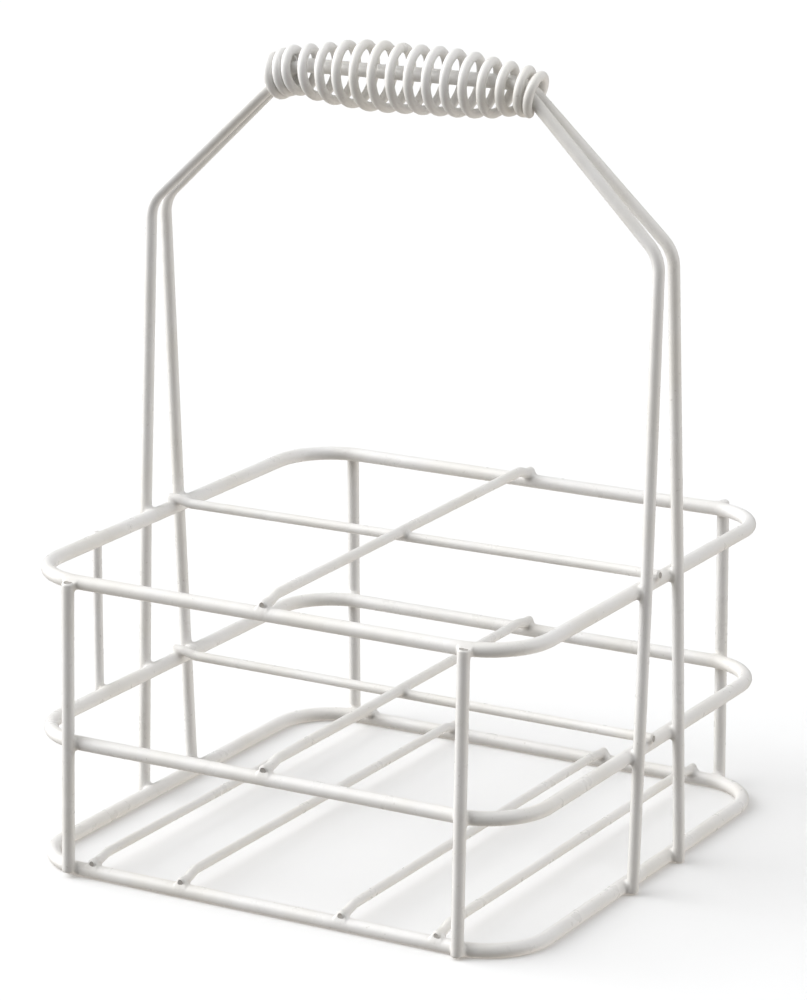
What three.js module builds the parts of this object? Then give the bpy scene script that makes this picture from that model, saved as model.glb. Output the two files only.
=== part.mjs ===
// Milk bottle crate for four bottles: welded, coated wire with a carrying handle.
// Millimetres, +Z up, +X to the right along the front, +Y to the back.
// Every wire is a solid of its own. Welded neighbours stop WELD_GAP apart.
import * as THREE from 'three';

// ---------------------------------------------------------------- driving dimensions
const WELD_GAP = 0.3;

const RING_WIRE = 4.8;
const POST_WIRE = 4.2;
const HANDLE_WIRE = 4.0;
const DIVIDER_WIRE = 3.4;
const FLOOR_WIRE = 3.2;
const STAY_WIRE = 3.2;
const COIL_WIRE = 3.2;

// The three rings are rounded squares. These are centre line sizes.
const RING_HALF_X = 91.6;
const RING_HALF_Y = 92.0;
const RING_CORNER = 21.5;
const RING_SIDES = 13; // odd, so a flat of the bottom ring lies on the ground
const RING_FOOT = (RING_WIRE / 2) * Math.cos(Math.PI / RING_SIDES);
const BOTTOM_Z = RING_FOOT;
const MIDDLE_Z = 46.3;
const TOP_Z = 101.4;

// Upright posts, outside the front and the back face. None stands quite upright.
const POSTS = { // [distance to the right, height] of both ends
  front_left_post: { foot: [-73.5, 1.8], top: [-71.6, 101.9] },
  front_right_post: { foot: [72.8, 0.8], top: [74.4, 102.3] },
  back_left_post: { foot: [-74.5, 0.6], top: [-75.3, 102.0] },
  back_right_post: { foot: [73.4, 0.6], top: [72.4, 103.6] },
};

// Short stay between the middle and the top ring, outside the left face.
const STAY_Y = -42.3;
const STAY_OVERLAP = 1.2;

// Bottle dividers: one wire front to back over one wire left to right, at two levels.
const LONG_DIVIDER_X = { front: 0.8, back: -1.5 };
const TOP_CROSS_Y = { left: -0.4, right: -0.4 };
const MIDDLE_CROSS_Y = { left: 1.5, right: -2.8 };
const CROSS_OVERHANG_LEFT = 1.6;
const CROSS_OVERHANG_RIGHT = 3.4;
const LONG_OVERHANG = 1.4;
const CROSS_SPAN_DROP = 2.0; // the lower wire sags between its two welds

// Floor wires, front to back on the bottom ring.
const FLOOR_X = [-65.5, -31.0, 29.2, 64.2];
const FLOOR_OVERHANG = 1.4;
const FLOOR_SPAN_RISE = 1.6;

// Every crossing wire is cranked where it is set down on a ring.
const CRANK_START = 2.6; // from the ring's centre line inwards
const CRANK_LENGTH = 5.0;

// The handle is two bent wires, welded outside the left and the right face.
// They were bent by hand, so left and right differ a little.
const LEG_FOOT_Z = 0.4;
const LEG_Y = { // distance from the middle at the foot, the top ring and the shoulder
  front: { left: [15.3, 11.8, 5.7], right: [17.0, 11.0, 6.2] },
  rear: { left: [16.0, 9.2, 2.9], right: [17.7, 12.2, 4.2] },
};
const LEG_BEND = 150;
const SHOULDER_Z = { left: 208.2, right: 210.0 };
const SHOULDER_BEND = 12;
const GRIP_CORNER = { left: [-42.0, 259.8], right: [43.0, 260.9] };
const GRIP_BEND = 13;
const GRIP_Y = HANDLE_WIRE / 2 + WELD_GAP / 2;

// Barrel coil wound round both handle wires. Two turns on the left and one on the right
// are wound close, and the turns between them open out.
const COIL_START_X = -49.6;
const COIL_START_TURN = -0.2; // its first end lies this far from straight up
const COIL_TURNS = 16.625;
const COIL_CLOSE_PITCH = 3.4;
const COIL_OPEN_PITCH = { left: 7.0, right: 6.25 };
const COIL_OPENS = { from: 2.25, to: 15.65, over: 0.4 }; // in turns from the first end
const COIL_LEAN = [ // [distance along the grip, degrees that the turns lean out of square]
  [-60, -10],
  [-52, -10],
  [-42, -3],
  [-30, 0],
  [0, 2],
  [30, 6],
  [42, 10],
  [52, 17],
  [60, 17],
];
const COIL_AXIS_Z = [ // [distance along the grip, height of the coil's middle]
  [-60, 252.8],
  [-52, 252.8],
  [-46, 255.9],
  [-42, 257.2],
  [-33, 257.9],
  [-20, 258.5],
  [0, 258.6],
  [12, 258.9],
  [24, 258.7],
  [33, 258.2],
  [42, 257.7],
  [47, 256.6],
  [52, 254.2],
  [60, 254.2],
];
const COIL_BARREL = [ // [distance along the grip, centre line radius]
  [-60, 6.6],
  [-52, 6.6],
  [-46, 6.7],
  [-42, 6.9],
  [-34, 7.8],
  [-24, 9.3],
  [-12, 10.3],
  [0, 9.9],
  [12, 9.8],
  [24, 9.3],
  [34, 8.1],
  [42, 7.2],
  [52, 6.7],
  [60, 6.7],
];
const PROFILE_ROUNDING = 3; // the profiles' corners are rounded over this distance

const WHITE = 0xe9e7e2;

// ---------------------------------------------------------------- wire building
// A curve through stations of its own choosing, so straights stay cheap and bends fine.
class StationCurve extends THREE.Curve {
  constructor(points, tangents) {
    super();
    this.points = points;
    this.tangents = tangents;
  }
  sample(list, u) {
    const at = Math.min(Math.max(u, 0), 1) * (list.length - 1);
    const i = Math.min(Math.floor(at + 1e-9), list.length - 2);
    return list[i].clone().lerp(list[i + 1], at - i);
  }
  getPointAt(u) {
    return this.sample(this.points, u);
  }
  getTangentAt(u) {
    return this.sample(this.tangents, u).normalize();
  }
  getPoint(u) {
    return this.getPointAt(u);
  }
  getTangent(u) {
    return this.getTangentAt(u);
  }
}

// Stations along straight runs joined by true arcs. radii[i] bends the wire at corners[i].
function bentStations(corners, radii, arcSteps) {
  const points = [corners[0].clone()];
  const first = corners[1].clone().sub(corners[0]).normalize();
  const tangents = [first];
  for (let i = 1; i < corners.length - 1; i += 1) {
    const into = corners[i].clone().sub(corners[i - 1]).normalize();
    const out = corners[i + 1].clone().sub(corners[i]).normalize();
    const turn = into.angleTo(out);
    const setback = radii[i] * Math.tan(turn / 2);
    const start = corners[i].clone().addScaledVector(into, -setback);
    const side = out.clone().addScaledVector(into, -out.dot(into)).normalize();
    const centre = start.clone().addScaledVector(side, radii[i]);
    for (let k = 0; k <= arcSteps; k += 1) {
      const a = (turn * k) / arcSteps;
      const point = centre.clone().addScaledVector(side, -radii[i] * Math.cos(a));
      points.push(point.addScaledVector(into, radii[i] * Math.sin(a)));
      const tangent = into.clone().multiplyScalar(Math.cos(a));
      tangents.push(tangent.addScaledVector(side, Math.sin(a)));
    }
  }
  const last = corners[corners.length - 1];
  points.push(last.clone());
  tangents.push(last.clone().sub(corners[corners.length - 2]).normalize());
  return { points, tangents };
}

function roundShape(diameter, sides) {
  const corners = [];
  for (let i = 0; i < sides; i += 1) {
    const a = (2 * Math.PI * i) / sides;
    corners.push(new THREE.Vector2(Math.cos(a), Math.sin(a)).multiplyScalar(diameter / 2));
  }
  return new THREE.Shape(corners);
}

function wireAlong(stations, diameter, sides) {
  const path = new StationCurve(stations.points, stations.tangents);
  return new THREE.ExtrudeGeometry(roundShape(diameter, sides), {
    steps: stations.points.length - 1,
    extrudePath: path,
    bevelEnabled: false,
  });
}

function straightWire(from, to, diameter) {
  const length = from.distanceTo(to);
  const geometry = new THREE.CylinderGeometry(diameter / 2, diameter / 2, length, 12);
  const along = to.clone().sub(from).normalize();
  const turn = new THREE.Quaternion().setFromUnitVectors(new THREE.Vector3(0, 1, 0), along);
  geometry.applyQuaternion(turn);
  const middle = from.clone().add(to).multiplyScalar(0.5);
  geometry.translate(middle.x, middle.y, middle.z);
  return geometry;
}

// ---------------------------------------------------------------- assembly
const crate = new THREE.Group();
crate.name = 'milk_bottle_crate';

function add(name, geometry) {
  const material = new THREE.MeshStandardMaterial({
    color: WHITE,
    roughness: 0.38,
    metalness: 0.0,
  });
  const mesh = new THREE.Mesh(geometry, material);
  mesh.name = name;
  crate.add(mesh);
}

// Rings: a closed wire, four straights and four quarter bends.
function ring(z) {
  const points = [];
  const tangents = [];
  const steps = 6;
  const quarters = [[1, 1], [-1, 1], [-1, -1], [1, -1]];
  quarters.forEach(([sx, sy], q) => {
    const cx = sx * (RING_HALF_X - RING_CORNER);
    const cy = sy * (RING_HALF_Y - RING_CORNER);
    for (let k = 0; k <= steps; k += 1) {
      const a = (Math.PI / 2) * (q + k / steps);
      const x = cx + RING_CORNER * Math.cos(a);
      const y = cy + RING_CORNER * Math.sin(a);
      points.push(new THREE.Vector3(x, y, z));
      tangents.push(new THREE.Vector3(-Math.sin(a), Math.cos(a), 0));
    }
  });
  points.push(points[0].clone());
  tangents.push(tangents[0].clone());
  const path = new StationCurve(points, tangents);
  return new THREE.TubeGeometry(path, points.length - 1, RING_WIRE / 2, RING_SIDES, true);
}

add('bottom_ring', ring(BOTTOM_Z));
add('middle_ring', ring(MIDDLE_Z));
add('top_ring', ring(TOP_Z));

// Posts stand against the outside of all three rings.
const postY = RING_HALF_Y + (RING_WIRE + POST_WIRE) / 2 + WELD_GAP;

function post(name) {
  const { foot, top } = POSTS[name];
  const y = name.startsWith('front') ? -postY : postY;
  const from = new THREE.Vector3(foot[0], y, foot[1]);
  const to = new THREE.Vector3(top[0], y, top[1]);
  return straightWire(from, to, POST_WIRE);
}

add('front_left_post', post('front_left_post'));
add('front_right_post', post('front_right_post'));
add('back_left_post', post('back_left_post'));
add('back_right_post', post('back_right_post'));

const stayX = -(RING_HALF_X + (RING_WIRE + STAY_WIRE) / 2 + WELD_GAP);
const stayFoot = new THREE.Vector3(stayX, STAY_Y, MIDDLE_Z - STAY_OVERLAP);
const stayTop = new THREE.Vector3(stayX, STAY_Y, TOP_Z + STAY_OVERLAP);
add('left_side_stay', straightWire(stayFoot, stayTop, STAY_WIRE));

// A wire laid across a ring: both ends rest on the ring, the span is cranked by spanRise.
function crossingWire(start, end, spanRise, overhang, diameter) {
  const along = end.clone().sub(start).normalize();
  const at = (from, distance, rise) => {
    const point = from.clone().addScaledVector(along, distance);
    point.z += rise;
    return point;
  };
  const crankEnd = CRANK_START + CRANK_LENGTH;
  const corners = [
    at(start, -overhang[0], 0),
    at(start, CRANK_START, 0),
    at(start, crankEnd, spanRise),
    at(end, -crankEnd, spanRise),
    at(end, -CRANK_START, 0),
    at(end, overhang[1], 0),
  ];
  const bend = 5;
  return wireAlong(bentStations(corners, [0, bend, bend, bend, bend, 0], 3), diameter, 10);
}

const dividerRest = (RING_WIRE + DIVIDER_WIRE) / 2 + WELD_GAP;
const longSpanRise = DIVIDER_WIRE + WELD_GAP - CROSS_SPAN_DROP;

function longDivider(ringZ) {
  const z = ringZ + dividerRest;
  const front = new THREE.Vector3(LONG_DIVIDER_X.front, -RING_HALF_Y, z);
  const back = new THREE.Vector3(LONG_DIVIDER_X.back, RING_HALF_Y, z);
  const overhang = [LONG_OVERHANG, LONG_OVERHANG];
  return crossingWire(front, back, longSpanRise, overhang, DIVIDER_WIRE);
}

function crossDivider(ringZ, y) {
  const z = ringZ + dividerRest;
  const left = new THREE.Vector3(-RING_HALF_X, y.left, z);
  const right = new THREE.Vector3(RING_HALF_X, y.right, z);
  const overhang = [CROSS_OVERHANG_LEFT, CROSS_OVERHANG_RIGHT];
  return crossingWire(left, right, -CROSS_SPAN_DROP, overhang, DIVIDER_WIRE);
}

add('top_long_divider', longDivider(TOP_Z));
add('top_cross_divider', crossDivider(TOP_Z, TOP_CROSS_Y));
add('middle_long_divider', longDivider(MIDDLE_Z));
add('middle_cross_divider', crossDivider(MIDDLE_Z, MIDDLE_CROSS_Y));

const floorZ = BOTTOM_Z + (RING_WIRE + FLOOR_WIRE) / 2 + WELD_GAP;
FLOOR_X.forEach((x, i) => {
  const front = new THREE.Vector3(x, -RING_HALF_Y, floorZ);
  const back = new THREE.Vector3(x, RING_HALF_Y, floorZ);
  const overhang = [FLOOR_OVERHANG, FLOOR_OVERHANG];
  const wire = crossingWire(front, back, FLOOR_SPAN_RISE, overhang, FLOOR_WIRE);
  add(`floor_wire_${i + 1}`, wire);
});

// Handle wires: leg, shoulder, slope, grip and the same again on the other side.
const legX = RING_HALF_X + (RING_WIRE + HANDLE_WIRE) / 2 + WELD_GAP;

function handleWire(side, legs) {
  const [leftFoot, leftRing, leftShoulder] = legs.left;
  const [rightFoot, rightRing, rightShoulder] = legs.right;
  const [leftGripX, leftGripZ] = GRIP_CORNER.left;
  const [rightGripX, rightGripZ] = GRIP_CORNER.right;
  const corners = [
    new THREE.Vector3(-legX, side * leftFoot, LEG_FOOT_Z),
    new THREE.Vector3(-legX, side * leftRing, TOP_Z),
    new THREE.Vector3(-legX, side * leftShoulder, SHOULDER_Z.left),
    new THREE.Vector3(leftGripX, side * GRIP_Y, leftGripZ),
    new THREE.Vector3(rightGripX, side * GRIP_Y, rightGripZ),
    new THREE.Vector3(legX, side * rightShoulder, SHOULDER_Z.right),
    new THREE.Vector3(legX, side * rightRing, TOP_Z),
    new THREE.Vector3(legX, side * rightFoot, LEG_FOOT_Z),
  ];
  const bends = [LEG_BEND, SHOULDER_BEND, GRIP_BEND, GRIP_BEND, SHOULDER_BEND, LEG_BEND];
  return wireAlong(bentStations(corners, [0, ...bends, 0], 6), HANDLE_WIRE, 12);
}

add('front_handle_wire', handleWire(-1, LEG_Y.front));
add('rear_handle_wire', handleWire(1, LEG_Y.rear));

// Straight lines between the stations of a profile, averaged over a short distance.
function readProfile(profile, x) {
  const samples = 7;
  let total = 0;
  for (let k = 0; k < samples; k += 1) {
    const at = x + PROFILE_ROUNDING * ((2 * k) / (samples - 1) - 1);
    const i = profile.findIndex(([station]) => station > at);
    const [x0, value0] = profile[i - 1];
    const [x1, value1] = profile[i];
    total += THREE.MathUtils.mapLinear(at, x0, x1, value0, value1);
  }
  return total / samples;
}

// Advance per turn of the coil, at a turn counted from its first end.
function coilPitch(turn) {
  const { from, to, over } = COIL_OPENS;
  const rising = THREE.MathUtils.smoothstep(turn, from, from + over);
  const falling = 1 - THREE.MathUtils.smoothstep(turn, to - over, to);
  const share = THREE.MathUtils.clamp((turn - from) / (to - from), 0, 1);
  const open = THREE.MathUtils.lerp(COIL_OPEN_PITCH.left, COIL_OPEN_PITCH.right, share);
  return THREE.MathUtils.lerp(COIL_CLOSE_PITCH, open, rising * falling);
}

function gripCoil() {
  const stepsPerTurn = 16;
  const count = Math.round(COIL_TURNS * stepsPerTurn);
  const points = [];
  let x = COIL_START_X;
  for (let i = 0; i <= count; i += 1) {
    const turn = i / stepsPerTurn;
    const angle = 2 * Math.PI * (turn + COIL_START_TURN);
    const lean = THREE.MathUtils.degToRad(readProfile(COIL_LEAN, x));
    const radius = readProfile(COIL_BARREL, x);
    const rise = radius * Math.cos(angle);
    const y = -radius * Math.sin(angle);
    const z = readProfile(COIL_AXIS_Z, x) + rise * Math.cos(lean);
    points.push(new THREE.Vector3(x + rise * Math.sin(lean), y, z));
    x += coilPitch(turn) / stepsPerTurn;
  }
  const tangents = points.map((point, i) => {
    const before = points[Math.max(i - 1, 0)];
    const after = points[Math.min(i + 1, count)];
    return after.clone().sub(before).normalize();
  });
  return wireAlong({ points, tangents }, COIL_WIRE, 8);
}

add('grip_coil', gripCoil());

export default crate;
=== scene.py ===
import math
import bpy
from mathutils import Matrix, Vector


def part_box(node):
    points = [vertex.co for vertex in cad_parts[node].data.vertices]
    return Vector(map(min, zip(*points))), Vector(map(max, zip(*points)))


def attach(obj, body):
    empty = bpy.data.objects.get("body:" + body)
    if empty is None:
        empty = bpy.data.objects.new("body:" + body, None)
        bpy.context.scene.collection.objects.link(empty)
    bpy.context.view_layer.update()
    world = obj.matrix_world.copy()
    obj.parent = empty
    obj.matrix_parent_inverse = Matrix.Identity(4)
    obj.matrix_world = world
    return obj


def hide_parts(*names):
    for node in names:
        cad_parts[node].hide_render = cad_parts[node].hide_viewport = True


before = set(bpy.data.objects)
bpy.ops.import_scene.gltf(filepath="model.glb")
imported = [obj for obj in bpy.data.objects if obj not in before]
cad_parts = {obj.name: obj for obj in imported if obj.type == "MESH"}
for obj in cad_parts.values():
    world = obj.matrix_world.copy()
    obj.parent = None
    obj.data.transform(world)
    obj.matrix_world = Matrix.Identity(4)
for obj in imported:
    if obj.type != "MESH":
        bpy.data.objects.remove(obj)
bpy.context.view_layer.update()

import zlib

import bpy
import numpy as np
from mathutils import Matrix, Vector

# Lengths are in millimetres up to the moment a mesh is made, and in metres from there on.
MM = 0.001
UP = np.array((0.0, 0.0, 1.0))

# ---------------------------------------------------------------- dimensions of the real wires
RING_WIRE = 4.8
POST_WIRE = 4.2
HANDLE_WIRE = 4.0
DIVIDER_WIRE = 3.4
FLOOR_WIRE = 3.2
STAY_WIRE = 3.2
COIL_WIRE = 3.2
RING_CORNER = 21.5

WELD_GAP = 0.3       # what the CAD leaves between two welded wires
POST_SINK = 1.2      # how far resistance welding presses one wire into the other
LEG_SINK = 0.7
STAY_SINK = 0.3
CROSSING_SINK = 0.9

# A crossing wire is cranked just inside the ring at both ends.
CRANK_START = 2.6    # from the ring's centre line inwards
CRANK_LENGTH = 5.0
CRANK_BEND = 5.0
SPAN_RISE = {        # how far a crossing wire's span stands over its two welded ends
    "top_long_divider": (1.5, 1.8),
    "middle_long_divider": (1.3, 1.1),
    "top_cross_divider": (-0.95, 0.0),
    "middle_cross_divider": (-1.15, -0.15),
    "floor_wire_1": (1.2, 0.8),
    "floor_wire_2": (1.6, 1.2),
    "floor_wire_3": (1.2, 0.8),
    "floor_wire_4": (1.5, 0.95),
}
LEANS_RIGHT = ("front_left_post", "front_right_post")   # the back posts lean to the left

# Handle wires: left and right leg, each with its distance from the middle at the foot,
# at the top ring and at the shoulder.
LEG_Y = {
    "front_handle_wire": ((-15.3, -11.8, -5.7), (-17.0, -11.0, -6.2)),
    "rear_handle_wire": ((16.0, 9.2, 2.9), (17.7, 12.2, 4.2)),
}
LEG_BEND = 150.0
SHOULDER_Z = (208.2, 210.0)
SHOULDER_BEND = 12.0
GRIP_CORNER_X = (-42.0, 43.0)
GRIP_SLANT = 1.1     # the grip's right end is this much higher
GRIP_BEND = 13.0

# The coil, from its left end. Its three profiles pair a distance along the grip with a value.
COIL_START_X = -49.9
COIL_START_TURN = -0.2       # where the end lies, in turns from straight up
COIL_TURNS = 16.625
COIL_CLOSE_PITCH = 3.4
COIL_OPEN_PITCH = (7.0, 6.25)
COIL_OPENS = (2.25, 15.65)   # turns between which the coil is open
COIL_OPENS_OVER = 0.4
COIL_LEAN = ((-52, -42, -30, 0, 30, 42, 47, 52), (-12, -4, 0, 2, 6, 11, 16, 20))   # degrees
COIL_AXIS_Z = (              # height of the coil's middle
    (-52, -46, -42, -33, -20, 0, 12, 24, 33, 42, 47, 52),
    (253.9, 256.5, 258.2, 257.9, 258.5, 258.6, 258.9, 258.7, 258.2, 258.7, 257.7, 255.9),
)
COIL_BARREL = (              # radius of the wire's centre line
    (-52, -46, -42, -34, -24, -12, 0, 12, 24, 34, 42, 47, 52),
    (6.3, 6.8, 6.7, 7.8, 9.3, 10.3, 9.9, 9.8, 9.3, 8.1, 7.0, 6.4, 6.1),
)
PROFILE_ROUNDING = 3.0       # the corners of these profiles are rounded over this distance

STATION_STEP = 2.5   # longest stretch of wire between two rings of vertices
RING_CORNER_STATIONS = 25
COIL_STATIONS_PER_TURN = 48
WIRE_SIDES = 28
COIL_SIDES = 20


def seed_of(text):
    return zlib.crc32(text.encode())


def node_box(name):
    low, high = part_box(name)
    return np.array(low) / MM, np.array(high) / MM


def node_middle(name):
    low, high = node_box(name)
    return (low + high) / 2


def unit(v):
    return v / np.linalg.norm(v)


# ---------------------------------------------------------------- centre lines
def bent_line(corners, radii, arc_steps=16):
    """Straight runs joined by true arcs, as one array of points."""
    corners = [np.array(c, float) for c in corners]
    points = [corners[0]]
    for before, corner, after, radius in zip(corners, corners[1:], corners[2:], radii):
        into, out = unit(corner - before), unit(after - corner)
        turn = math.acos(np.clip(into @ out, -1, 1))
        if turn < 1e-4:
            points.append(corner)
            continue
        start = corner - into * radius * math.tan(turn / 2)
        side = unit(out - into * (out @ into))
        centre = start + side * radius
        for a in np.linspace(0, turn, arc_steps + 1):
            points.append(centre - side * radius * math.cos(a) + into * radius * math.sin(a))
    points.append(corners[-1])
    return np.array(points)


def resample(line, step, closed=False):
    """The same line with no stretch longer than step."""
    if closed:
        line = np.vstack((line, line[:1]))
    out = []
    for a, b in zip(line[:-1], line[1:]):
        count = max(1, math.ceil(np.linalg.norm(b - a) / step))
        out.extend(a + (b - a) * i / count for i in range(count))
    if not closed:
        out.append(line[-1])
    return np.array(out)


def ring_line(name):
    low, high = node_box(name)
    half = (high - low)[:2] / 2 - RING_WIRE / 2
    z = high[2] - RING_WIRE / 2
    points = []
    for quarter, (sx, sy) in enumerate(((1, 1), (-1, 1), (-1, -1), (1, -1))):
        cx, cy = sx * (half[0] - RING_CORNER), sy * (half[1] - RING_CORNER)
        for a in np.linspace(quarter, quarter + 1, RING_CORNER_STATIONS) * math.pi / 2:
            points.append((cx + RING_CORNER * math.cos(a), cy + RING_CORNER * math.sin(a), z))
    return np.array(points)


def post_line(name):
    low, high = node_box(name)
    _, y, _ = node_middle(name)
    y -= math.copysign(WELD_GAP + POST_SINK, y)
    foot_x, top_x = low[0] + POST_WIRE / 2, high[0] - POST_WIRE / 2
    if name not in LEANS_RIGHT:
        foot_x, top_x = top_x, foot_x
    return np.array(((foot_x, y, low[2]), (top_x, y, high[2])))


def stay_line(name):
    low, high = node_box(name)
    x, y, _ = node_middle(name)
    x += WELD_GAP + STAY_SINK
    return np.array(((x, y, low[2]), (x, y, high[2])))


def crossing_line(name, start, end, overhangs):
    """A wire laid over two sides of a ring and cranked between them."""
    first_rise, last_rise = SPAN_RISE[name]
    start, end = np.array(start, float), np.array(end, float)
    along = unit(end - start)
    span = np.linalg.norm(end - start)
    first, last = overhangs[0], span - overhangs[1]
    stops = (
        (0, 0),
        (first + CRANK_START, 0),
        (first + CRANK_START + CRANK_LENGTH, first_rise),
        (last - CRANK_START - CRANK_LENGTH, last_rise),
        (last - CRANK_START, 0),
        (span, 0),
    )
    corners = [start + along * s + UP * z for s, z in stops]
    return bent_line(corners, [CRANK_BEND] * 4, 6)


def rest_height(ring, wire):
    """Height of the centre line of a wire welded on top of a ring."""
    ring_top = node_box(ring)[1][2]
    return ring_top + wire / 2 - CROSSING_SINK


def front_to_back(name, ring, wire):
    low, high = node_box(name)
    ring_half = node_box(ring)[1][1] - RING_WIRE / 2
    z = rest_height(ring, wire)
    start = (high[0] - wire / 2, low[1], z)
    end = (low[0] + wire / 2, high[1], z)
    overhangs = (-ring_half - low[1], high[1] - ring_half)
    return crossing_line(name, start, end, overhangs)


def left_to_right(name, ring, wire):
    low, high = node_box(name)
    ring_half = node_box(ring)[1][0] - RING_WIRE / 2
    z = rest_height(ring, wire)
    start = (low[0], high[1] - wire / 2, z)
    end = (high[0], low[1] + wire / 2, z)
    overhangs = (-ring_half - low[0], high[0] - ring_half)
    return crossing_line(name, start, end, overhangs)


def handle_line(name):
    low, high = node_box(name)
    radius = HANDLE_WIRE / 2
    inwards = WELD_GAP + LEG_SINK
    leg_x = high[0] - radius
    grip_y = math.copysign(radius, LEG_Y[name][0][0])
    grip_z = (high[2] - radius - GRIP_SLANT, high[2] - radius)
    sides = []
    for side, legs, corner_x, corner_z, shoulder_z in zip(
            (-1, 1), LEG_Y[name], GRIP_CORNER_X, grip_z, SHOULDER_Z):
        slope = (corner_z - shoulder_z) / (leg_x - abs(corner_x))
        x = side * (leg_x - inwards)
        ring_z = node_middle("top_ring")[2]
        sides.append([
            (x, legs[0], low[2]),
            (x, legs[1], ring_z),
            (x, legs[2], shoulder_z + slope * inwards),
            (corner_x, grip_y, corner_z),
        ])
    bends = (LEG_BEND, SHOULDER_BEND, GRIP_BEND, GRIP_BEND, SHOULDER_BEND, LEG_BEND)
    return bent_line(sides[0] + sides[1][::-1], bends, 20)


def read_profile(profile, x):
    near = x + np.linspace(-PROFILE_ROUNDING, PROFILE_ROUNDING, 7)
    return np.interp(near, *profile).mean()


def ease(value):
    value = min(max(value, 0.0), 1.0)
    return value * value * (3 - 2 * value)


def coil_line():
    per_turn = COIL_STATIONS_PER_TURN
    opens, closes = COIL_OPENS
    points = []
    x = COIL_START_X
    for i in range(round(COIL_TURNS * per_turn) + 1):
        turn = i / per_turn
        angle = 2 * math.pi * (turn + COIL_START_TURN)
        lean = math.radians(read_profile(COIL_LEAN, x))
        radius = read_profile(COIL_BARREL, x)
        axis_z = read_profile(COIL_AXIS_Z, x)
        rise = radius * math.cos(angle)
        points.append((
            x + rise * math.sin(lean),
            -radius * math.sin(angle),
            axis_z + rise * math.cos(lean),
        ))
        opened = ease((turn - opens) / COIL_OPENS_OVER)
        opened *= ease((closes - turn) / COIL_OPENS_OVER)
        open_pitch = np.interp(turn, COIL_OPENS, COIL_OPEN_PITCH)
        x += (COIL_CLOSE_PITCH + (open_pitch - COIL_CLOSE_PITCH) * opened) / per_turn
    return np.array(points)


# ---------------------------------------------------------------- the wires
wires = {}


def wire(name, line, diameter, slot, closed=False, ends=("cut", "cut")):
    wires[name] = {
        "line": resample(line, STATION_STEP, closed),
        "radius": diameter / 2,
        "slot": slot,
        "closed": closed,
        "ends": ends,
    }


for level in ("bottom", "middle", "top"):
    wire(f"{level}_ring", ring_line(f"{level}_ring"), RING_WIRE, "ring_coating", closed=True)
for name in ("front_left_post", "front_right_post"):
    wire(name, post_line(name), POST_WIRE, "post_coating", ends=("round", "cut"))
for name in ("back_left_post", "back_right_post"):
    wire(name, post_line(name), POST_WIRE, "post_coating", ends=("round", "round"))
name = "left_side_stay"
wire(name, stay_line(name), STAY_WIRE, "post_coating", ends=("round", "round"))
for level in ("middle", "top"):
    ring = f"{level}_ring"
    name = f"{level}_long_divider"
    wire(name, front_to_back(name, ring, DIVIDER_WIRE), DIVIDER_WIRE, "divider_coating")
    name = f"{level}_cross_divider"
    wire(name, left_to_right(name, ring, DIVIDER_WIRE), DIVIDER_WIRE, "divider_coating")
for i in range(1, 5):
    name = f"floor_wire_{i}"
    wire(name, front_to_back(name, "bottom_ring", FLOOR_WIRE), FLOOR_WIRE, "floor_coating")
for name in ("front_handle_wire", "rear_handle_wire"):
    wire(name, handle_line(name), HANDLE_WIRE, "handle_coating", ends=("round", "round"))
wire("grip_coil", coil_line(), COIL_WIRE, "coil_coating")


# ---------------------------------------------------------------- where two wires are welded
WELD_SEARCH_STEP = 0.8
WELD_LEAST_DEPTH = 0.2   # wires that only touch are not welded
WELDS_APART = 12.0       # two welds of the same pair are further apart than this


def crossings(a, b):
    """Points where two wires press into each other."""
    line_a = resample(a["line"], WELD_SEARCH_STEP, a["closed"])
    line_b = resample(b["line"], WELD_SEARCH_STEP, b["closed"])
    gaps = np.linalg.norm(line_a[:, None] - line_b[None], axis=2)
    close = np.argwhere(gaps < a["radius"] + b["radius"] - WELD_LEAST_DEPTH)
    found = []
    for i, j in sorted(close.tolist(), key=lambda pair: gaps[pair[0], pair[1]]):
        share = a["radius"] / (a["radius"] + b["radius"])
        point = line_a[i] + (line_b[j] - line_a[i]) * share
        if all(np.linalg.norm(point - other) > WELDS_APART for other in found):
            found.append(point)
    return found


welds = []
names = sorted(wires)
for i, first in enumerate(names):
    for second in names[i + 1:]:
        handle_pair = "handle" in first and "handle" in second
        if "grip_coil" in (first, second) or handle_pair:
            continue
        for point in crossings(wires[first], wires[second]):
            welds.append((first, second, point))
weld_points = np.array([point for _, _, point in welds])


# ---------------------------------------------------------------- swept wire meshes
def frames_along(line, closed):
    """Tangent and two cross directions at each station, carried along without twist."""
    if closed:
        tangents = np.roll(line, -1, 0) - np.roll(line, 1, 0)
    else:
        tangents = np.gradient(line, axis=0)
        tangents[0], tangents[-1] = line[1] - line[0], line[-1] - line[-2]
    tangents /= np.linalg.norm(tangents, axis=1)[:, None]
    u = np.empty_like(line)
    hint = UP if abs(tangents[0] @ UP) < 0.9 else np.array((0.0, 1.0, 0.0))
    for i, t in enumerate(tangents):
        hint = unit(hint - t * (hint @ t))
        u[i] = hint
    return tangents, u, np.cross(tangents, u)


END_EDGE = {"cut": 0.7, "round": 1.1}   # radius of the coating round the rim of an end
END_EDGE_RINGS = 6
END_TILT = 0.10                         # a sheared face is not quite square
END_FACE = {                            # (share of the rim's radius, how far it stands out)
    "cut": ((0.82, 0.02), (0.45, -0.03)),
    "round": ((0.82, 0.02), (0.45, 0.12)),
}
END_CENTRE = {"cut": -0.04, "round": 0.16}
SOIL_AND_SHADE_REACH = 4.2                       # distance from a weld over which the soiling and painted shade fade


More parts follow.
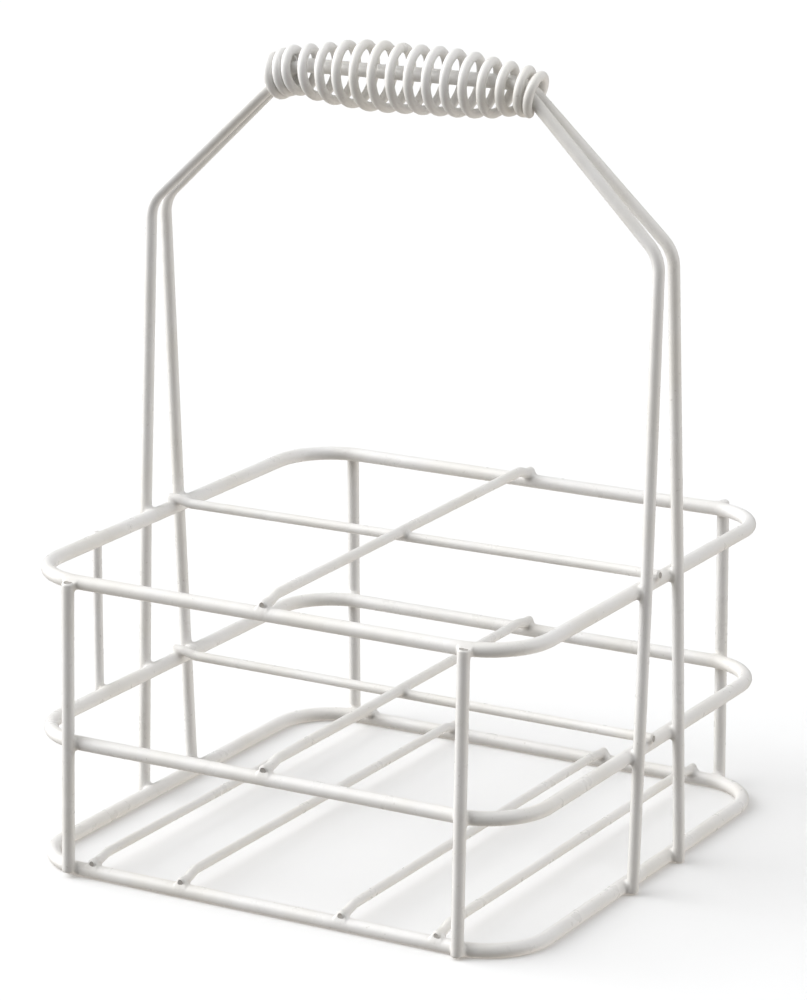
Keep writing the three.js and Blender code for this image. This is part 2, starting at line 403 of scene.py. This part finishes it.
def wire_mesh(name, spec, sides):
    rng = np.random.default_rng(seed_of(name))
    line, radius, closed = spec["line"], spec["radius"], spec["closed"]
    stations, radii = [p for p in line], [radius] * len(line)
    if not closed:
        for end in (0, 1):
            edge = END_EDGE[spec["ends"][end]]
            order = slice(None, None, -1) if end == 0 else slice(None)
            stations, radii = stations[order], radii[order]
            tip, along = stations[-1], unit(stations[-1] - stations[-2])
            stations, radii = stations[:-1], radii[:-1]
            for a in np.linspace(0, math.pi / 2, END_EDGE_RINGS):
                stations.append(tip - along * edge * (1 - math.sin(a)))
                radii.append(radius - edge * (1 - math.cos(a)))
            stations, radii = stations[order], radii[order]
    stations, radii = np.array(stations), np.array(radii)
    tangents, u, v = frames_along(stations, closed)
    angles = np.arange(sides) * 2 * math.pi / sides
    around = u[:, None] * np.cos(angles)[:, None] + v[:, None] * np.sin(angles)[:, None]
    rings = stations[:, None] + around * radii[:, None, None]
    if not closed:
        for index in (0, -1):
            lean = rng.normal(size=3)
            lean -= tangents[index] * (lean @ tangents[index])
            lean = unit(lean) * END_TILT
            first = 0 if index == 0 else len(stations) - END_EDGE_RINGS
            for k in range(first, first + END_EDGE_RINGS):
                away = rings[k] - stations[k]
                rings[k] += tangents[index] * (away @ lean)[:, None]
    count = len(stations)
    verts = rings.reshape(-1, 3).tolist()
    faces, marks = [], []
    for i in range(count if closed else count - 1):
        a, b = i * sides, ((i + 1) % count) * sides
        for k in range(sides):
            n = (k + 1) % sides
            faces.append((a + k, a + n, b + n, b + k))
            marks.append(0)
    if not closed:
        for index, kind in ((0, spec["ends"][0]), (count - 1, spec["ends"][1])):
            outward = -tangents[0] if index == 0 else tangents[-1]
            rim = rings[index]
            middle = rim.mean(0)
            sets = [list(range(index * sides, (index + 1) * sides))]
            for share, bulge in END_FACE[kind]:
                start = len(verts)
                verts.extend((middle + (rim - middle) * share + outward * bulge).tolist())
                sets.append(list(range(start, start + sides)))
            centre = len(verts)
            verts.append((middle + outward * END_CENTRE[kind]).tolist())
            mark = 1 if kind == "cut" else 0
            for outer, inner in zip(sets, sets[1:]):
                for k in range(sides):
                    n = (k + 1) % sides
                    quad = (outer[k], inner[k], inner[n], outer[n])
                    faces.append(quad if index else quad[::-1])
                    marks.append(mark)
            for k in range(sides):
                n = (k + 1) % sides
                tri = (sets[-1][k], centre, sets[-1][n])
                faces.append(tri if index else tri[::-1])
                marks.append(mark)
    return np.array(verts), faces, marks


def make_object(name, verts, faces, marks, materials):
    mesh = bpy.data.meshes.new(name)
    mesh.from_pydata((np.asarray(verts) * MM).tolist(), [], faces)
    for material in materials:
        mesh.materials.append(material)
    mesh.polygons.foreach_set("material_index", marks)
    mesh.polygons.foreach_set("use_smooth", [True] * len(faces))
    # Darkening towards each weld: soiling, and painted shade in the crevice between the wires.
    gap = np.linalg.norm(np.asarray(verts)[:, None] - weld_points[None], axis=2).min(1)
    weld_soil_and_shade = np.exp(-((gap / SOIL_AND_SHADE_REACH) ** 2)).astype(np.float32)
    attribute = mesh.attributes.new("weld_soiling_and_shade", "FLOAT", "POINT")
    attribute.data.foreach_set("value", weld_soil_and_shade)
    mesh.update()
    piece = bpy.data.objects.new(name, mesh)
    bpy.context.scene.collection.objects.link(piece)
    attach(piece, "root")
    return piece


# ---------------------------------------------------------------- materials
class Graph:
    """Short names for building a node tree."""

    def __init__(self, tree):
        self.tree = tree
        tree.nodes.clear()

    def add(self, kind, inputs=None, **settings):
        node = self.tree.nodes.new(kind)
        for key, value in settings.items():
            setattr(node, key, value)
        for key, value in (inputs or {}).items():
            if isinstance(value, bpy.types.NodeSocket):
                self.tree.links.new(value, node.inputs[key])
            else:
                node.inputs[key].default_value = value
        return node

    def noise(self, where, scale, detail=2.0, roughness=0.5):
        inputs = {"Vector": where, "Scale": scale, "Detail": detail, "Roughness": roughness}
        return self.add("ShaderNodeTexNoise", inputs).outputs["Fac"]

    def span(self, value, low, high, to_low=0.0, to_high=1.0):
        inputs = {
            "Value": value,
            "From Min": low,
            "From Max": high,
            "To Min": to_low,
            "To Max": to_high,
        }
        return self.add("ShaderNodeMapRange", inputs, clamp=True).outputs["Result"]

    def math(self, operation, a, b=None):
        inputs = {0: a} if b is None else {0: a, 1: b}
        return self.add("ShaderNodeMath", inputs, operation=operation).outputs[0]

    def mix(self, fac, a, b):
        node = self.add("ShaderNodeMix", data_type="RGBA")
        for index, value in ((0, fac), (6, a), (7, b)):
            if isinstance(value, bpy.types.NodeSocket):
                self.tree.links.new(value, node.inputs[index])
            else:
                node.inputs[index].default_value = value
        return node.outputs[2]


def rgb(*values):
    return (*values, 1.0)


YELLOWED = (0.965, 0.955, 0.925)   # share of the tone left in an aged patch
# The next colour darkens the coating near the welds: soiling together with painted shade.
SOIL_AND_SHADE_TONE = (0.42, 0.39, 0.35)
SPECK = (0.40, 0.37, 0.33)
PEEL_HEIGHT = 0.00003              # metres
WAVE_HEIGHT = 0.00022
COATING_IOR = 1.47
SOIL_AND_SHADE_SHARE = 0.45
SPECK_SHARE = 0.3
CUT_STEEL = (0.40, 0.39, 0.37)
CUT_RUST = (0.33, 0.29, 0.26)
CUT_HEIGHT = 0.00012


def coating_material(name, tone):
    """White dipped coating: slight yellowing, soiling and painted shade at the welds, specks and
    orange peel.
    """
    material = bpy.data.materials.new(name)
    material.use_nodes = True
    g = Graph(material.node_tree)
    where = g.add("ShaderNodeTexCoord").outputs["Object"]
    seed = seed_of(name) % 1000 / 100
    shifted = g.add("ShaderNodeVectorMath", {0: where, 1: (seed, 0, 0)}, operation="ADD")
    where = shifted.outputs[0]
    weld_soil_and_shade = g.add("ShaderNodeAttribute", attribute_name="weld_soiling_and_shade").outputs["Fac"]
    patches = g.span(g.noise(where, 38, 3, 0.55), 0.38, 0.66)
    aged = [value * share for value, share in zip(tone, YELLOWED)]
    colour = g.mix(patches, rgb(*tone), rgb(*aged))
    blotch = g.span(g.noise(where, 420, 4, 0.6), 0.52, 0.72)
    # Near the welds the colour is darkened: soiling, and painted shade in the crevices.
    blotchy_soil_and_shade = g.math("MULTIPLY", weld_soil_and_shade, g.span(blotch, 0, 1, 0.35, 1.0))
    colour = g.mix(g.math("MULTIPLY", blotchy_soil_and_shade, SOIL_AND_SHADE_SHARE), colour, rgb(*SOIL_AND_SHADE_TONE))
    specks = g.span(g.noise(where, 900, 1, 0.4), 0.73, 0.80)
    colour = g.mix(g.math("MULTIPLY", specks, SPECK_SHARE), colour, rgb(*SPECK))
    rough = g.span(g.noise(where, 150, 3, 0.6), 0.3, 0.7, 0.25, 0.38)
    rough = g.math("ADD", rough, g.math("MULTIPLY", blotchy_soil_and_shade, 0.2))
    peel = g.math("MULTIPLY", g.noise(where, 760, 2, 0.5), PEEL_HEIGHT)
    waves = g.math("MULTIPLY", g.noise(where, 130, 2, 0.5), WAVE_HEIGHT)
    height = g.math("ADD", peel, waves)
    bump = g.add("ShaderNodeBump", {"Strength": 1.0, "Distance": 1.0, "Height": height})
    shader = g.add("ShaderNodeBsdfPrincipled", {
        "Base Color": colour,
        "Roughness": rough,
        "Normal": bump.outputs["Normal"],
        "IOR": COATING_IOR,
    })
    g.add("ShaderNodeOutputMaterial", {"Surface": shader.outputs[0]})
    return material


def cut_end_material():
    """Sheared steel showing through thin coating at a wire's end."""
    material = bpy.data.materials.new("cut_end")
    material.use_nodes = True
    g = Graph(material.node_tree)
    where = g.add("ShaderNodeTexCoord").outputs["Object"]
    rust = g.span(g.noise(where, 900, 3, 0.6), 0.42, 0.68)
    colour = g.mix(rust, rgb(*CUT_STEEL), rgb(*CUT_RUST))
    rough = g.span(g.noise(where, 1500, 3, 0.6), 0.3, 0.7, 0.45, 0.75)
    height = g.math("MULTIPLY", g.noise(where, 1800, 3, 0.6), CUT_HEIGHT)
    bump = g.add("ShaderNodeBump", {"Strength": 1.0, "Distance": 1.0, "Height": height})
    shader = g.add("ShaderNodeBsdfPrincipled", {
        "Base Color": colour,
        "Roughness": rough,
        "Normal": bump.outputs["Normal"],
    })
    g.add("ShaderNodeOutputMaterial", {"Surface": shader.outputs[0]})
    return material


TONES = {
    "ring_coating": (0.800, 0.793, 0.784),
    "post_coating": (0.795, 0.789, 0.781),
    "divider_coating": (0.800, 0.792, 0.780),
    "floor_coating": (0.790, 0.783, 0.772),
    "handle_coating": (0.803, 0.797, 0.788),
    # The coil's tone is lighter than the other wires of the same coating: painted light.
    "coil_coating": (0.830, 0.823, 0.812),
}
coatings = {slot: coating_material(slot, tone) for slot, tone in TONES.items()}
cut_end = cut_end_material()

for name, spec in wires.items():
    sides = COIL_SIDES if name == "grip_coil" else WIRE_SIDES
    verts, faces, marks = wire_mesh(name, spec, sides)
    skins = (coatings[spec["slot"]], cut_end)
    piece = make_object(f"wire_{name}", verts, faces, marks, skins)
    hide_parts(name)


# ---------------------------------------------------------------- weld fillets
FILLET_STEP = 0.42     # grid of the fillet meshes
FILLET_BLEND = 1.9     # how widely the coating rounds the corner between two wires
FILLET_UNDER = 0.035   # beyond the corner the fillet dives under the wires' own surface
FILLET_END = 0.5       # and stops this far short of a wire's cut end
FILLET_REACH = 1.25    # times the two radii
FILLET_MARGIN = 0.6
FILLET_FADE_FROM = 0.7 # share of the reach where the fillet starts to dive
FILLET_FADE_DEPTH = 0.5
FILLET_TOUCH_UPS = 3   # steps that bring the mesh onto the true surface
STRETCH_MARGIN = 3.0   # wire kept beyond the fillet's reach
STRETCH_STEP = 1.2


def distance_to_line(points, line):
    a, b = line[:-1], line[1:]
    ab = b - a
    t = np.einsum("psk,sk->ps", points[:, None] - a[None], ab) / np.einsum("sk,sk->s", ab, ab)
    t = np.clip(t, 0, 1)
    nearest = a[None] + ab[None] * t[..., None]
    return np.linalg.norm(points[:, None] - nearest, axis=2).min(1)


def near_stretch(spec, centre, reach):
    """The part of a wire's line close to a weld, and the wire's ends that lie in it."""
    line = resample(spec["line"], STRETCH_STEP, spec["closed"])
    kept = reach + STRETCH_MARGIN
    if spec["closed"]:
        ends = []
        line = np.vstack((line, line[:1]))
    else:
        ends = [(line[0], line[0] - line[1]), (line[-1], line[-1] - line[-2])]
    near = np.linalg.norm(line - centre, axis=1) < kept
    index = np.flatnonzero(near)
    breaks = np.flatnonzero(np.diff(index) > 1)
    if len(breaks):
        index = np.concatenate((index[breaks[0] + 1:], index[:breaks[0] + 1]))
    ends = [(tip, unit(out)) for tip, out in ends if np.linalg.norm(tip - centre) < kept]
    return line[index], ends


def fillet_field(first, second, centre, reach):
    stretches = [near_stretch(spec, centre, reach) for spec in (first, second)]
    radii = (first["radius"], second["radius"])

    def field(points):
        out = np.linalg.norm(points - centre, axis=1)
        fade = np.clip((out / reach - FILLET_FADE_FROM) / (1 - FILLET_FADE_FROM), 0, 1)
        under = FILLET_UNDER + FILLET_FADE_DEPTH * fade**2
        depths = []
        for (line, ends), radius in zip(stretches, radii):
            depth = distance_to_line(points, line) - radius + under
            for tip, outward in ends:
                depth = np.maximum(depth, (points - tip) @ outward + FILLET_END)
            depths.append(depth)
        a, b = depths
        h = np.clip(FILLET_BLEND - np.abs(a - b), 0, None) / FILLET_BLEND
        joined = np.minimum(a, b) - h * h * FILLET_BLEND / 4
        return np.maximum(joined, out - reach)

    return field


def surface_nets(field, centre, reach, step):
    """Closed quad mesh of the region where field is negative."""
    n = 2 * math.ceil(reach / step) + 4
    axis = (np.arange(n) - (n - 1) / 2) * step
    grid = np.stack(np.meshgrid(axis, axis, axis, indexing="ij"), -1) + centre
    value = field(grid.reshape(-1, 3)).reshape(n, n, n)
    inside = value < 0
    total = np.zeros((n - 1, n - 1, n - 1, 3))
    hits = np.zeros((n - 1, n - 1, n - 1))
    quads = []
    for k in range(3):
        low = tuple(slice(0, n - 1) if i == k else slice(1, n - 1) for i in range(3))
        high = tuple(slice(1, n) if i == k else slice(1, n - 1) for i in range(3))
        cross = inside[low] != inside[high]
        where = np.argwhere(cross) + [0 if i == k else 1 for i in range(3)]
        v0 = value[tuple(where.T)]
        nxt = where.copy()
        nxt[:, k] += 1
        t = v0 / (v0 - value[tuple(nxt.T)])
        point = grid[tuple(where.T)].copy()
        point[:, k] += t * step
        p, q = (k + 1) % 3, (k + 2) % 3
        cells = []
        for dp, dq in ((0, 0), (-1, 0), (-1, -1), (0, -1)):
            cell = where.copy()
            cell[:, p] += dp
            cell[:, q] += dq
            np.add.at(total, tuple(cell.T), point)
            np.add.at(hits, tuple(cell.T), 1)
            cells.append(np.ravel_multi_index(tuple(cell.T), hits.shape))
        quad = np.stack(cells, 1)
        starts_inside = inside[tuple(where.T)]
        quads.append(np.where(starts_inside[:, None], quad, quad[:, ::-1]))
    used = np.flatnonzero(hits.ravel())
    verts = total.reshape(-1, 3)[used] / hits.ravel()[used][:, None]
    lookup = np.full(hits.size, -1)
    lookup[used] = np.arange(len(used))
    faces = lookup[np.vstack(quads)]
    e = 0.02
    for _ in range(FILLET_TOUCH_UPS):
        value = field(verts)
        slopes = [(field(verts + d) - field(verts - d)) / (2 * e) for d in np.eye(3) * e]
        slope = np.stack(slopes, 1)
        verts = verts - slope * (value / np.maximum((slope**2).sum(1), 0.25))[:, None]
    return verts, faces


MIDDLE_LEVEL_FROM = 20.0
TOP_LEVEL_FROM = 75.0

fillets = {}
for first, second, point in welds:
    a, b = wires[first], wires[second]
    reach = FILLET_REACH * (a["radius"] + b["radius"]) + FILLET_MARGIN
    field = fillet_field(a, b, point, reach)
    verts, faces = surface_nets(field, point, reach, FILLET_STEP)
    if point[2] < MIDDLE_LEVEL_FROM:
        level = "bottom"
    elif point[2] < TOP_LEVEL_FROM:
        level = "middle"
    else:
        level = "top"
    fillets.setdefault(level, []).append((verts, faces))

for level, parts in fillets.items():
    verts = np.vstack([v for v, _ in parts])
    offsets = np.cumsum([0] + [len(v) for v, _ in parts[:-1]])
    faces = np.vstack([f + o for (_, f), o in zip(parts, offsets)]).tolist()
    make_object(f"{level}_weld_fillets", verts, faces, [0] * len(faces),
                (coatings["ring_coating"],))


# ---------------------------------------------------------------- floor, light and camera
FLOOR_HALF = 7.0     # metres
FLOOR_TONE = (0.846, 0.849, 0.852)
FLOOR_ROUGHNESS = 0.9


def plain_floor():
    """A backdrop that takes the crate's shadow but sends no light back to it."""
    half = FLOOR_HALF
    corners = [(-half, -half, 0), (half, -half, 0), (half, half, 0), (-half, half, 0)]
    mesh = bpy.data.meshes.new("floor")
    mesh.from_pydata(corners, [], [(0, 1, 2, 3)])
    material = bpy.data.materials.new("floor_paper")
    material.use_nodes = True
    shader = material.node_tree.nodes["Principled BSDF"]
    shader.inputs["Base Color"].default_value = rgb(*FLOOR_TONE)
    shader.inputs["Roughness"].default_value = FLOOR_ROUGHNESS
    shader.inputs["Specular IOR Level"].default_value = 0.0
    mesh.materials.append(material)
    floor = bpy.data.objects.new("floor", mesh)
    bpy.context.scene.collection.objects.link(floor)
    floor.visible_diffuse = False
    floor.visible_glossy = False
    floor.visible_shadow = False


# Light comes in broad lobes: azimuth, elevation and brightness of each. Azimuth 0 is the
# front (-Y), 90 the right (+X).
LOBE_NARROWNESS = 8
SOFT_BOXES = (
    (-75, 20, 5.25),    # key, from the left
    (-45, 35, 0.65),
    (-30, 55, 2.32),    # overhead, in front
    (0, 90, 0.75),
    (105, 20, 2.25),    # fill, from the right
    (150, 20, 0.50),
    (-165, 20, 0.42),
)
TABLE_GLOW = (          # light thrown back by the table, a little warmer
    (-75, -15, 0.50),
    (150, -15, 0.30),
    (-150, -50, 1.00),
    (-60, -50, 0.56),
    (30, -50, 0.28),
    (120, -50, 2.05),
)
TABLE_TINT = (1.0, 0.93, 0.85)


def lobe_light(g, towards, lobes, colour, seen, seen_strength):
    """Background shader of the given lobes, with one even strength where the camera looks."""
    total = None
    for azimuth, elevation, brightness in lobes:
        a, e = math.radians(azimuth), math.radians(elevation)
        aim = (math.sin(a) * math.cos(e), -math.cos(a) * math.cos(e), math.sin(e))
        facing = g.add("ShaderNodeVectorMath", {0: towards, 1: aim}, operation="DOT_PRODUCT")
        facing = g.math("MAXIMUM", facing.outputs["Value"], 0.0)
        lobe = g.math("POWER", facing, LOBE_NARROWNESS)
        lobe = g.math("MULTIPLY", lobe, brightness)
        total = lobe if total is None else g.math("ADD", total, lobe)
    unseen = g.math("MULTIPLY", total, g.math("SUBTRACT", 1.0, seen))
    strength = g.math("ADD", unseen, g.math("MULTIPLY", seen, seen_strength))
    return g.add("ShaderNodeBackground", {"Color": rgb(*colour), "Strength": strength}).outputs[0]


def studio_world():
    world = bpy.data.worlds.new("studio")
    bpy.context.scene.world = world
    world.use_nodes = True
    g = Graph(world.node_tree)
    towards = g.add("ShaderNodeTexCoord").outputs["Generated"]
    towards = g.add("ShaderNodeVectorMath", {0: towards}, operation="NORMALIZE").outputs[0]
    seen = g.add("ShaderNodeLightPath").outputs["Is Camera Ray"]
    boxes = lobe_light(g, towards, SOFT_BOXES, (1, 1, 1), seen, 1.0)
    table = lobe_light(g, towards, TABLE_GLOW, TABLE_TINT, seen, 0.0)
    both = g.add("ShaderNodeAddShader", {0: boxes, 1: table}).outputs[0]
    g.add("ShaderNodeOutputWorld", {"Surface": both})


CAMERA_TARGET = Vector((-0.64, 0.0, 116.52)) * MM
CAMERA_DISTANCE = 1419.95 * MM
CAMERA_AZIMUTH = 29.379
CAMERA_ELEVATION = 15.572
CAMERA_ROLL = 0.179
CAMERA_LENS = 153.18


def photo_camera():
    a, e = math.radians(CAMERA_AZIMUTH), math.radians(CAMERA_ELEVATION)
    back = Vector((math.sin(a) * math.cos(e), -math.cos(a) * math.cos(e), math.sin(e)))
    data = bpy.data.cameras.new("photo_camera")
    data.sensor_width = 36
    data.lens = CAMERA_LENS
    data.clip_start, data.clip_end = 0.05, 40
    camera = bpy.data.objects.new("photo_camera", data)
    camera.rotation_mode = "QUATERNION"
    camera.location = CAMERA_TARGET + back * CAMERA_DISTANCE
    straight = (-back).to_track_quat("-Z", "Y")
    rolled = Matrix.Rotation(math.radians(CAMERA_ROLL), 3, back).to_quaternion()
    camera.rotation_quaternion = rolled @ straight
    bpy.context.scene.collection.objects.link(camera)
    bpy.context.scene.camera = camera


plain_floor()
studio_world()
photo_camera()
bpy.context.scene.view_settings.view_transform = "Standard"
